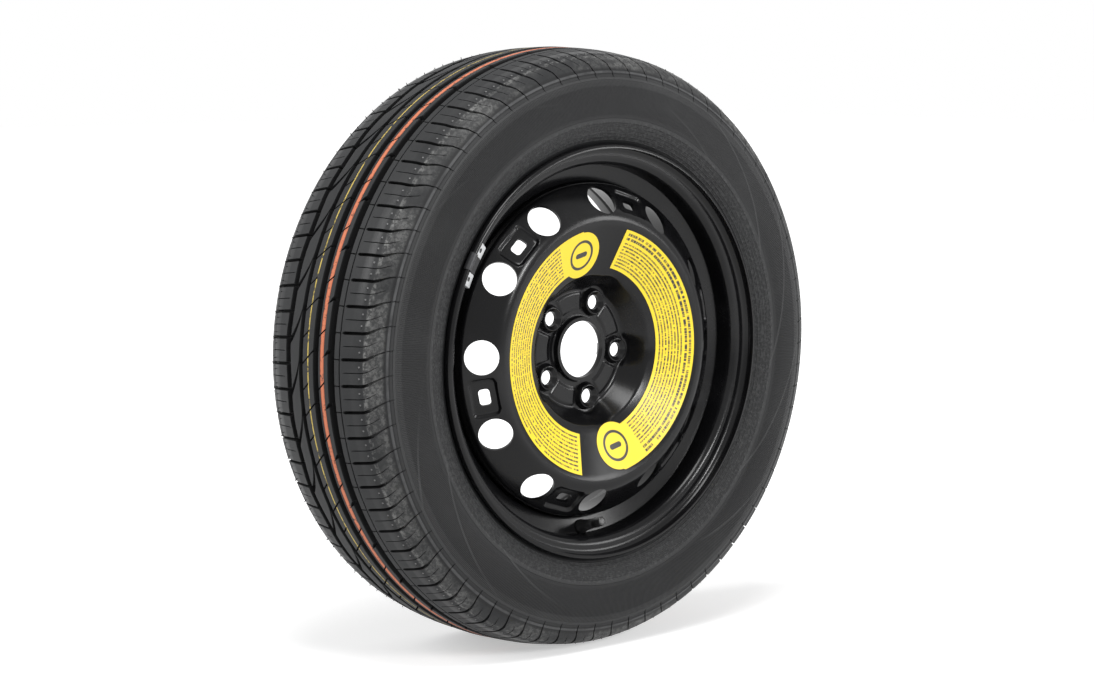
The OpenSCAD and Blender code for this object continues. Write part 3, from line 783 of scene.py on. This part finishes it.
def disc_line():
    """The front of the disc as points of (out, radius), from the bore to the end in the well."""
    front = rounded([(48.5, 32.15, 0), (PLATE_OUT, 32.15, 2.2), (PLATE_OUT, 61, 6), (CONE_OUT, CONE_R, 7),
                     (RIDGE_OUT, RIDGE_R, RIDGE_ROUND), (59.25, 168.2, 6), (24.9, 168.2, 0)], 9)
    path = []
    for a, b in zip(front, front[1:]):
        gap = 9 if b.y > 168.1 else 6 if 78 <= b.y < 128 else 1.7
        places = [k * gap for k in range(max(1, ceil((b - a).length / gap)))]
        if a.y < VENT_R < b.y:
            places = [0] + [(r - a.y) / cos(VENT_SLOPE) for r in BAND_RADII if a.y < r < b.y]
        path += [a.lerp(b, k / (b - a).length) for k in places]
    return path + [front[-1]]


def pad_turn(index):
    """Angle of a column of the disc's vertices: the columns stand close together at the walls of the pads."""
    sector, place = divmod(index, 2 * len(PAD_ANGLES))
    away = [0.0] + PAD_ANGLES + [60 - a for a in reversed(PAD_ANGLES[:-1])]
    return PADS[0] + radians(60 * sector + away[place])


def press_disc(x, y, out, lobe, pad_depth):
    """Moves a point of the turned disc to its place in the pressed one."""
    radius, angle = hypot(x, y), atan2(y, x)
    if 33 < radius < 100 and out > PLATE_OUT - 0.1:
        if out > PLATE_OUT + 0.2:
            out = max(PLATE_OUT, soft_min(out, PLATE_OUT + pocket_height(x, y, lobe), 5.0))
        if radius < 60:
            # low raised fields between the bolts
            gap = min(abs(turned(angle - b - radians(36))) for b in BOLTS)
            arc = (radians(17) - gap) * radius
            out += 1.0 * ease(arc / 1.6 + 0.5) * ease((radius - 39.5) / 1.6) * ease((58 - radius) / 1.6)
    if 136 < radius < 168.1 and out > 58:
        for pad in PADS:
            away = turned(angle - pad)
            if abs(away) < 0.25:
                # distance to the edge of the pad, a rectangle with round corners
                du = abs(radius * sin(away)) - (PAD_WIDE / 2 - PAD_CORNER)
                dw = abs(radius * cos(away) - VENT_R) / cos(VENT_SLOPE) - (PAD_HIGH / 2 - PAD_CORNER)
                gap = hypot(max(du, 0), max(dw, 0)) + min(max(du, dw), 0) - PAD_CORNER
                push = pad_depth * (1 - ease(gap / PAD_WALL + 0.5))
                out -= push * cos(VENT_SLOPE)
                x -= push * sin(VENT_SLOPE) * cos(angle)
                y -= push * sin(VENT_SLOPE) * sin(angle)
    return Vector((x, -out, y)) * MM


def build_disc(cfg, material):
    columns = 12 * len(PAD_ANGLES)
    bm = bmesh.new()
    verts, edges = add_line(bm, disc_line())
    spin(bm, verts + edges, columns)
    bmesh.ops.remove_doubles(bm, verts=bm.verts[:], dist=1e-6)
    for v in bm.verts:
        index = round(atan2(v.co.z, v.co.x) / TAU * columns) % columns
        v.co = wheel_point(pad_turn(index), hypot(v.co.x, v.co.z) / MM, -v.co.y / MM)
    for v in bm.verts:
        v.co = press_disc(v.co.x / MM, v.co.z / MM, -v.co.y / MM, cfg.lobe_radius / MM, cfg.pad_depth / MM)
    face_outwards(bm)
    disc = make_object("disc_dressed", bm, material, crease=0)
    thicken(disc, DISC_METAL, -1, even=True)

    # bosses round the bolt holes
    bm = bmesh.new()
    top = PLATE_OUT + cfg.boss_height / MM
    boss = [(6, 38.4), (14.2, 38.4), (14.6, 41.0), (14.3, 41.9), (13.6, 42.6), (12.4, top - 0.9),
            (12.0, top - 0.3), (11.5, top), (6, top)]
    bolt_places = [Matrix.Translation(wheel_point(b, BOLT_R, 0)) @ seat_matrix(0, 0, 0) for b in BOLTS]
    for place in bolt_places:
        spin_local(bm, boss, 64, place, closed=True)
    combine(disc, bm, "UNION")

    # holes: bolts with their seats, vents, windows
    bm = bmesh.new()
    seat = [(0, 36), (10.3, 36), (10.3, 37.9), (7.3, 40.3), (7.3, top - 3.4), (10.8, top - 0.1),
            (11.0, top + 2), (0, top + 2)]
    for place in bolt_places:
        spin_local(bm, seat, 64, place)
    hole = cfg.vent_diameter / MM / 2
    vent = [(0, -14), (hole, -14), (hole, 14), (0, 14)]
    for v in VENTS:
        spin_local(bm, vent, 72, seat_matrix(v, VENT_R, VENT_OUT, VENT_SLOPE))
    for p in PADS:
        place = seat_matrix(p, VENT_R, VENT_OUT, VENT_SLOPE)
        size = Matrix.Diagonal((WINDOW_HIGH * MM, WINDOW_WIDE * MM, 26 * MM, 1))
        made = bmesh.ops.create_cube(bm, size=1, matrix=place @ size)["verts"]
        normal = place.to_3x3() @ Vector((0, 0, 1))
        upright = [e for e in {e for v in made for e in v.link_edges}
                   if abs((e.verts[0].co - e.verts[1].co).normalized().dot(normal)) > 0.99]
        bmesh.ops.bevel(bm, geom=upright, offset=WINDOW_CORNER * MM, affect="EDGES", segments=6,
                        profile=0.5, material=-1)
    combine(disc, bm, "DIFFERENCE")
    bm = bmesh.new()
    bm.from_mesh(disc.data)
    bmesh.ops.remove_doubles(bm, verts=bm.verts[:], dist=0.02 * MM)
    bm.to_mesh(disc.data)
    bm.free()
    disc.data.shade_smooth()
    sharpen(disc, 38)
    return disc


def arc_bar(bm, profile, angles):
    """Spins a closed profile of (out, radius) to an arc with closed ends, with a ring at each angle."""
    there = set(bm.verts)
    verts, edges = add_line(bm, profile, closed=True)
    cap = bm.faces.new(verts)
    quarter = pi / 2
    spin(bm, [cap] + verts + edges, len(angles) - 1, angle=quarter)
    made = [v for v in bm.verts if v not in there]
    for v in made:
        index = round(atan2(v.co.z, v.co.x) / quarter * (len(angles) - 1))
        v.co = wheel_point(angles[index], hypot(v.co.x, v.co.z) / MM, -v.co.y / MM)
    return made


def build_welds(material):
    """Rippled weld beads between the end of the disc and the well."""
    weld_out, weld_r, half, count = 24.4, 166.2, radians(8.5), 44
    bead = [(weld_out + 2.4 * cos(t * TAU / 14), weld_r + 2.0 * sin(t * TAU / 14)) for t in range(14)]
    bm = bmesh.new()
    for middle in PADS:
        for v in arc_bar(bm, bead, [middle + half * (2 * i / count - 1) for i in range(count + 1)]):
            turn = atan2(v.co.z, v.co.x)
            share = abs(turned(turn - middle)) / half
            scale = sqrt(max(0.04, 1 - share ** 6)) * (1 + 0.07 * sin(share * 60))
            radius = weld_r + (hypot(v.co.x, v.co.z) / MM - weld_r) * scale
            v.co = wheel_point(turn, radius, weld_out + (-v.co.y / MM - weld_out) * scale)
    settle(bm)
    return make_object("weld_beads", bm, material, crease=50)


# Small parts
LABEL_START, LABEL_SLOPE = radians(103.5), radians(20.3)
LABEL_LOW, LABEL_HIGH, LABEL_END_R, LABEL_END_AT = 84.6, 124.8, 23.3, 100.3
LABEL_GAP, LABEL_FILM = 0.13, 0.14


def build_label(name, turn, material):
    """Film on the cone of the disc, with a round end and a straight one, turned round the wheel."""
    first, dense, last = -asin(LABEL_END_R / LABEL_END_AT), radians(13.6), radians(152.5)
    angles = [first * cos(k * pi / 48) for k in range(24)]
    angles += [dense * k / 14 for k in range(15)]
    angles += [dense + (last - dense) * k / 110 for k in range(1, 111)]
    quarter, rows = pi / 2, 12
    bm = bmesh.new()
    verts, edges = add_line(bm, [(0, r) for r in range(1, rows + 2)])
    spin(bm, verts + edges, len(angles) - 1, angle=quarter)
    for v in bm.verts:
        row = round(hypot(v.co.x, v.co.z) / MM) - 1
        angle = angles[round(atan2(v.co.z, v.co.x) / quarter * (len(angles) - 1))]
        middle = LABEL_END_AT * cos(angle)
        reach = LABEL_END_R ** 2 - (LABEL_END_AT * sin(angle)) ** 2
        low, high = LABEL_LOW, LABEL_HIGH
        if abs(angle) < quarter and reach >= 0:
            near = middle - sqrt(reach)
            low = min(LABEL_LOW, near) if angle >= 0 else near
            high = LABEL_HIGH if angle >= 0 else middle + sqrt(reach)
        if angle <= first + 1e-9:
            low = high = middle
        radius = low + (high - low) * row / rows
        out = CONE_OUT + (radius - CONE_R) * tan(LABEL_SLOPE) + LABEL_GAP / cos(LABEL_SLOPE)
        v.co = wheel_point(LABEL_START + turn + angle, radius, out)
    bmesh.ops.remove_doubles(bm, verts=bm.verts[:], dist=1e-6)
    face_outwards(bm)
    label = make_object(name, bm, material, crease=0)
    thicken(label, LABEL_FILM, 1)
    sharpen(label, 40)
    return label


WEIGHT_AT, WEIGHT_R, WEIGHT_HALF = radians(150.5), 199.6, 22.5
DIMPLE_TURN, DIMPLE_R = radians(4.4), 198.0


def build_weight(material):
    """Cast balance weight with a dimple at each end and a flat for its clip."""
    profile = rounded([(78.9, 190.7, 0), (82.8, 190.7, 1.0), (84.0, 192.6, 1.4), (88.4, 202.4, 1.3),
                       (86.3, 204.8, 0)], 15)
    profile += [(85.7 + 6.8 * cos(radians(a)), 198.1 + 6.8 * sin(radians(a))) for a in range(90, 181, 9)]
    marks = [m - WEIGHT_HALF for m in (0, 0.35, 0.9, 3, 6, 9, 12, 13.6, 13.95, 16, 19, WEIGHT_HALF)]
    marks += [-m for m in reversed(marks[:-1])]
    bm = bmesh.new()
    for v in arc_bar(bm, profile, [WEIGHT_AT + m / WEIGHT_R for m in marks]):
        away = abs(atan2(v.co.z, v.co.x) - WEIGHT_AT) * WEIGHT_R
        out = -v.co.y / MM
        end = WEIGHT_HALF - away
        if away < 8.7 and out > 81.5:
            v.co.y += 0.97 * MM
        if end < 0.8 and out > 80:
            v.co.y += 0.7 * (1 - sqrt(max(0, 1 - (1 - end / 0.9) ** 2))) * MM
    settle(bm)
    body = make_object("weight_dressed", bm, material, crease=32)
    dish = [(0, -0.3), (1.0, -0.2), (1.7, 0.35), (2.0, 1.0), (2.0, 6), (0, 6)]
    bm = bmesh.new()
    for side in (-1, 1):
        spin_local(bm, dish, 28, seat_matrix(WEIGHT_AT + side * DIMPLE_TURN, DIMPLE_R, 85.2, radians(-24)))
    combine(body, bm, "DIFFERENCE")
    sharpen(body, 32)
    return body


def build_clip(material):
    """Steel clip with pressed ribs that hooks over the flange."""
    line = rounded([(82.5, 191.6, 0), (83.1, 192.6, 0.8), (87.7, 202.3, 1.3), (91.05, 202.8, 0.6),
                    (91.05, 207.68, 3.6), (86.8, 207.68, 0)], 15)
    count, width = 34, 16.8
    angles = [WEIGHT_AT + (k / count - 0.5) * width / WEIGHT_R for k in range(count + 1)]
    bm = bmesh.new()
    for v in arc_bar(bm, line + shifted(line, -0.86)[::-1], angles):
        away = (atan2(v.co.z, v.co.x) - WEIGHT_AT) * WEIGHT_R
        if 193.5 < hypot(v.co.x, v.co.z) / MM < 202 and abs(away) < 7.6:
            v.co.y += 0.08 * (cos(away * TAU / 3.8) - 1) * MM
    settle(bm)
    return make_object("clip_dressed", bm, material, crease=32)


# heights along the valve: top of the stem, and the ends of the cap
STEM_TOP, CAP_START, CAP_TOP = 31.6, 20.7, 34.1


def build_valve(rubber, brass):
    """Snap-in valve: rubber body and threaded metal stem."""
    bm = bmesh.new()
    foot = [(3.2, -8.6), (5.2, -8.6), (7.0, -7.2), (7.6, -6.4), (7.6, -2.7), (5.62, -2.62), (5.6, 0.02),
            (7.0, 0.05), (7.3, 0.4), (7.3, 2.0), (6.9, 3.2), (6.5, 4.6), (6.1, 6.2), (5.8, 8), (5.3, 13),
            (4.9, 17.6), (4.7, 19.2), (4.4, 19.9), (4.0, 20.2), (3.2, 20.2)]
    spin_local(bm, foot, 64, valve_place(), closed=True)
    settle(bm)
    body = make_object("valve_rubber_dressed", bm, rubber)
    bm = bmesh.new()
    stem = [(2.0, -8), (3.15, -8), (3.15, 20.25), (3.45, 20.3)]
    z = 20.5
    while z < STEM_TOP - 0.9:
        stem += [(3.45, z), (3.84, z + 0.27), (3.84, z + 0.38), (3.45, z + 0.65)]
        z += 0.8
    stem += [(3.45, STEM_TOP - 0.5), (3.2, STEM_TOP), (2.75, STEM_TOP), (2.66, 21.0), (2.0, 18.0)]
    spin_local(bm, stem, 40, valve_place(), closed=True)
    settle(bm)
    return body, make_object("valve_stem_dressed", bm, brass)


def build_spring(material):
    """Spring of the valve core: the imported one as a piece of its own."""
    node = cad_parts["core_spring"]
    bm = bmesh.new()
    bm.from_mesh(node.data)
    bmesh.ops.transform(bm, matrix=node.matrix_world, verts=bm.verts[:])
    settle(bm)
    return make_object("core_spring_dressed", bm, material, crease=0)


def shorten_spring(spring):
    """Gives the spring a mesh of its own."""
    place = valve_place()
    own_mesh(spring)


def build_cap(material):
    """Dust cap with 18 flutes."""
    outer = [(3.92, 0.05), (4.7, 0), (5.0, 0.15), (5.08, 0.5), (5.09, 0.9), (5.09, 1.4), (5.09, 5.4),
             (5.09, 6.0), (5.06, 6.6), (4.85, 9.6)]
    tip = [(4.55, -1.2), (4.2, -0.5), (3.5, -0.12), (2.2, -0.02), (0, 0)]
    inner = [(0, 32.4), (3.7, 32.4), (3.92, 32.1), (3.92, CAP_START + 0.6)]
    profile = [(r, CAP_START + z) for r, z in outer] + [(r, CAP_TOP + z) for r, z in tip] + inner
    bm = bmesh.new()
    spin_local(bm, profile, 144, Matrix.Identity(4), closed=True)
    for v in bm.verts:
        radius, z = hypot(v.co.x, v.co.y) / MM, v.co.z / MM
        if radius > 4.95 and CAP_START + 1.2 < z < CAP_START + 5.7:
            turn = atan2(v.co.y, v.co.x) * 18
            cut = 0.34 * ease((0.35 - cos(turn)) / 0.8)
            v.co.x *= 1 - cut / radius
            v.co.y *= 1 - cut / radius
    bmesh.ops.transform(bm, matrix=valve_place(), verts=bm.verts[:])
    settle(bm, 1e-5)
    return make_object("valve_cap_dressed", bm, material, crease=40)


# Studio lamps: name, place in metres, width, height, power
LAMPS = (("overhead", (-0.7, -0.9, 2.5), 1.1, 1.1, 49), ("left_side", (-2.3, 0.85, 1.5), 0.6, 1.6, 38),
         ("front", (0.35, -2.62, 0.92), 0.3, 0.7, 34), ("right_side", (1.85, -2.07, 0.45), 0.4, 0.9, 15))
# how far the camera's aim passes beside and above the middle of the wheel, in millimetres
AIM_RIGHT, AIM_UP = -2.78, 5.158


def build_floor():
    """White floor that keeps the wheel's shadow and glows for the camera, least under the wheel."""
    bm = bmesh.new()
    ground = Matrix.Translation((0, 0, GROUND_Z))
    bmesh.ops.create_grid(bm, x_segments=8, y_segments=8, size=14, matrix=ground)
    f = Finish("floor_white")
    f.set(Base_Color=(0.80, 0.80, 0.80), Roughness=0.9, Specular_IOR_Level=0.0)
    x, y, z = f.axes()
    far = span(x, y).step(0.45, 1.5)
    strength = f.seen_by("Is Camera Ray", "Is Glossy Ray") * (0.46 + far * 0.56)
    glow = f.add("ShaderNodeEmission", {}, {"Color": (1, 1, 1), "Strength": strength})
    both = f.add("ShaderNodeAddShader", {}, {0: Signal(f, f.shader.outputs[0]), 1: glow})
    f.feed(f.tree.nodes["Material Output"].inputs[0], both)
    floor = make_object("floor", bm, f.material, crease=0)


def build_world():
    """White for the camera and in reflections, dimmer as a light."""
    world = bpy.data.worlds.new("studio")
    board = Board(world)
    seen = board.seen_by("Is Camera Ray", "Is Glossy Ray", "Is Transmission Ray")
    level = board.add("ShaderNodeMapRange", {}, {"Value": seen, "To Min": 0.35, "To Max": 1.0})
    sky = board.tree.nodes["Background"]
    board.feed(sky.inputs["Color"], (1, 1, 1))
    board.feed(sky.inputs["Strength"], level)
    bpy.context.scene.world = world


def add_lamp(name, place, width, height, power):
    """Rectangular lamp that shines at the middle of the wheel."""
    lamp = bpy.data.lights.new(name, "AREA")
    lamp.shape = "RECTANGLE"
    lamp.size, lamp.size_y, lamp.energy = width, height, power
    holder = bpy.data.objects.new(name, lamp)
    bpy.context.scene.collection.objects.link(holder)
    aim = (-Vector(place)).to_track_quat("-Z", "Y")
    holder.matrix_world = Matrix.Translation(place) @ aim.to_matrix().to_4x4()


def add_camera(cfg):
    """Camera where the photograph was taken from."""
    a, e = cfg.azimuth, cfg.elevation
    right = Vector((cos(a), sin(a), 0))
    up = Vector((-sin(a) * sin(e), cos(a) * sin(e), cos(e)))
    back = right.cross(up)
    camera = bpy.data.cameras.new("camera")
    camera.sensor_width = 36
    camera.sensor_fit = "HORIZONTAL"
    camera.lens = cfg.lens
    camera.clip_end = 100
    holder = bpy.data.objects.new("camera", camera)
    bpy.context.scene.collection.objects.link(holder)
    place = Matrix((right, up, back)).transposed().to_4x4()
    place.translation = back * cfg.distance + (right * AIM_RIGHT + up * AIM_UP) * MM
    holder.matrix_world = place
    bpy.context.scene.camera = holder


# Operators
def carry(nodes, material):
    """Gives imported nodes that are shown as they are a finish."""
    for name in nodes:
        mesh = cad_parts[name].data
        mesh.materials.clear()
        mesh.materials.append(material)


def finish_piece(piece, body, slot, *nodes):
    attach(piece, body)
    if nodes:
        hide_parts(*nodes)


class SPARE_OT_tyre(bpy.types.Operator):
    """Build the tyre with its tread, side walls and whiskers"""
    bl_idname = "spare.tyre"
    bl_label = "Tyre"
    bl_options = {"REGISTER", "UNDO"}

    def execute(self, context):
        finish_piece(build_tyre(context.scene.spare_tyre), "wheel", "tyre", "tyre")
        return {"FINISHED"}


class SPARE_OT_wheel(bpy.types.Operator):
    """Build the pressed steel wheel: rim, disc and the welds between them"""
    bl_idname = "spare.wheel"
    bl_label = "Steel wheel"
    bl_options = {"REGISTER", "UNDO"}

    def execute(self, context):
        paint = paint_finish(context.scene.spare_wheel)
        finish_piece(build_rim(paint), "wheel", "rim", "rim")
        finish_piece(build_disc(context.scene.spare_wheel, paint), "wheel", "disc", "disc")
        finish_piece(build_welds(paint), "wheel", "disc")
        return {"FINISHED"}


class SPARE_OT_labels(bpy.types.Operator):
    """Build the two labels on the cone of the disc"""
    bl_idname = "spare.labels"
    bl_label = "Labels"
    bl_options = {"REGISTER", "UNDO"}

    def execute(self, context):
        cfg = context.scene.spare_parts
        for node, turn, bold in (("label_left", 0, False), ("label_right", pi, True)):
            name = node + "_dressed"
            film = label_finish(cfg, name + "_film", LABEL_START + turn, bold)
            finish_piece(build_label(name, turn, film), "wheel", node, node)
        return {"FINISHED"}


class SPARE_OT_weight(bpy.types.Operator):
    """Build the balance weight and its clip"""
    bl_idname = "spare.weight"
    bl_label = "Balance weight"
    bl_options = {"REGISTER", "UNDO"}

    def execute(self, context):
        cfg = context.scene.spare_parts
        finish_piece(build_weight(cast_finish(cfg)), "wheel", "weight_body", "weight_body")
        finish_piece(build_clip(clip_finish(cfg)), "wheel", "weight_clip", "weight_clip")
        return {"FINISHED"}


class SPARE_OT_valve(bpy.types.Operator):
    """Build the valve and its cap, and finish the core inside it"""
    bl_idname = "spare.valve"
    bl_label = "Valve"
    bl_options = {"REGISTER", "UNDO"}

    def execute(self, context):
        cfg = context.scene.spare_parts
        rubber = plain_finish("valve_rubber_black", (0.018, 0.018, 0.019), 0.5)
        plastic = plain_finish("cap_plastic", (0.012, 0.012, 0.012), 0.3)
        body, stem = build_valve(rubber, brass_finish(cfg, "stem_brass", 1.0))
        finish_piece(body, "wheel", "valve_rubber", "valve_rubber")
        finish_piece(stem, "wheel", "valve_stem", "valve_stem")
        finish_piece(build_cap(plastic), "cap", "valve_cap", "valve_cap")
        carry(["core_plug", "core_barrel", "core_pin"], brass_finish(cfg, "core_brass", 1.1))
        spring = build_spring(clip_finish(cfg))
        finish_piece(spring, "wheel", "core_spring", "core_spring")
        shorten_spring(spring)
        carry(["core_seal", "cap_seal"], rubber)
        carry(["core_gasket"], plain_finish("gasket_red", (0.30, 0.045, 0.03), 0.45))
        return {"FINISHED"}


class SPARE_OT_studio(bpy.types.Operator):
    """Set up the floor, the background, the lamps and the camera"""
    bl_idname = "spare.studio"
    bl_label = "Studio"
    bl_options = {"REGISTER", "UNDO"}

    def execute(self, context):
        cfg = context.scene.spare_studio
        build_floor()
        build_world()
        for name, place, width, height, power in LAMPS:
            add_lamp(name, place, width, height, power * cfg.lamp)
        add_camera(cfg)
        context.scene.view_settings.view_transform = "Standard"
        return {"FINISHED"}


class SPARE_PT_panel(bpy.types.Panel):
    """Lists the pieces and their settings"""
    bl_label = "Spare wheel"
    bl_idname = "SPARE_PT_panel"
    bl_space_type = "VIEW_3D"
    bl_region_type = "UI"
    bl_category = "Spare Wheel"

    def draw(self, context):
        groups = ("spare_tyre", "spare_wheel", "spare_parts", None, None, "spare_studio")
        for operator, group in zip(OPERATORS, groups):
            box = self.layout.box()
            box.operator(operator.bl_idname)
            if group:
                settings = getattr(context.scene, group)
                for name in settings.bl_rna.properties.keys():
                    if name not in ("rna_type", "name"):
                        box.prop(settings, name)


GROUPS = {"spare_tyre": TyreSettings, "spare_wheel": WheelSettings, "spare_parts": PartSettings,
          "spare_studio": StudioSettings}
OPERATORS = (SPARE_OT_tyre, SPARE_OT_wheel, SPARE_OT_labels, SPARE_OT_weight, SPARE_OT_valve, SPARE_OT_studio)


def register():
    for kind in (*GROUPS.values(), *OPERATORS, SPARE_PT_panel):
        bpy.utils.register_class(kind)
    for name, kind in GROUPS.items():
        setattr(bpy.types.Scene, name, PointerProperty(type=kind))


def unregister():
    for name in GROUPS:
        delattr(bpy.types.Scene, name)
    for kind in (SPARE_PT_panel, *OPERATORS, *GROUPS.values()):
        bpy.utils.unregister_class(kind)


def main():
    register()
    bpy.ops.spare.tyre()
    bpy.ops.spare.wheel()
    bpy.ops.spare.labels()
    bpy.ops.spare.weight()
    bpy.ops.spare.valve()
    bpy.ops.spare.studio()


if __name__ == "__main__":
    main()
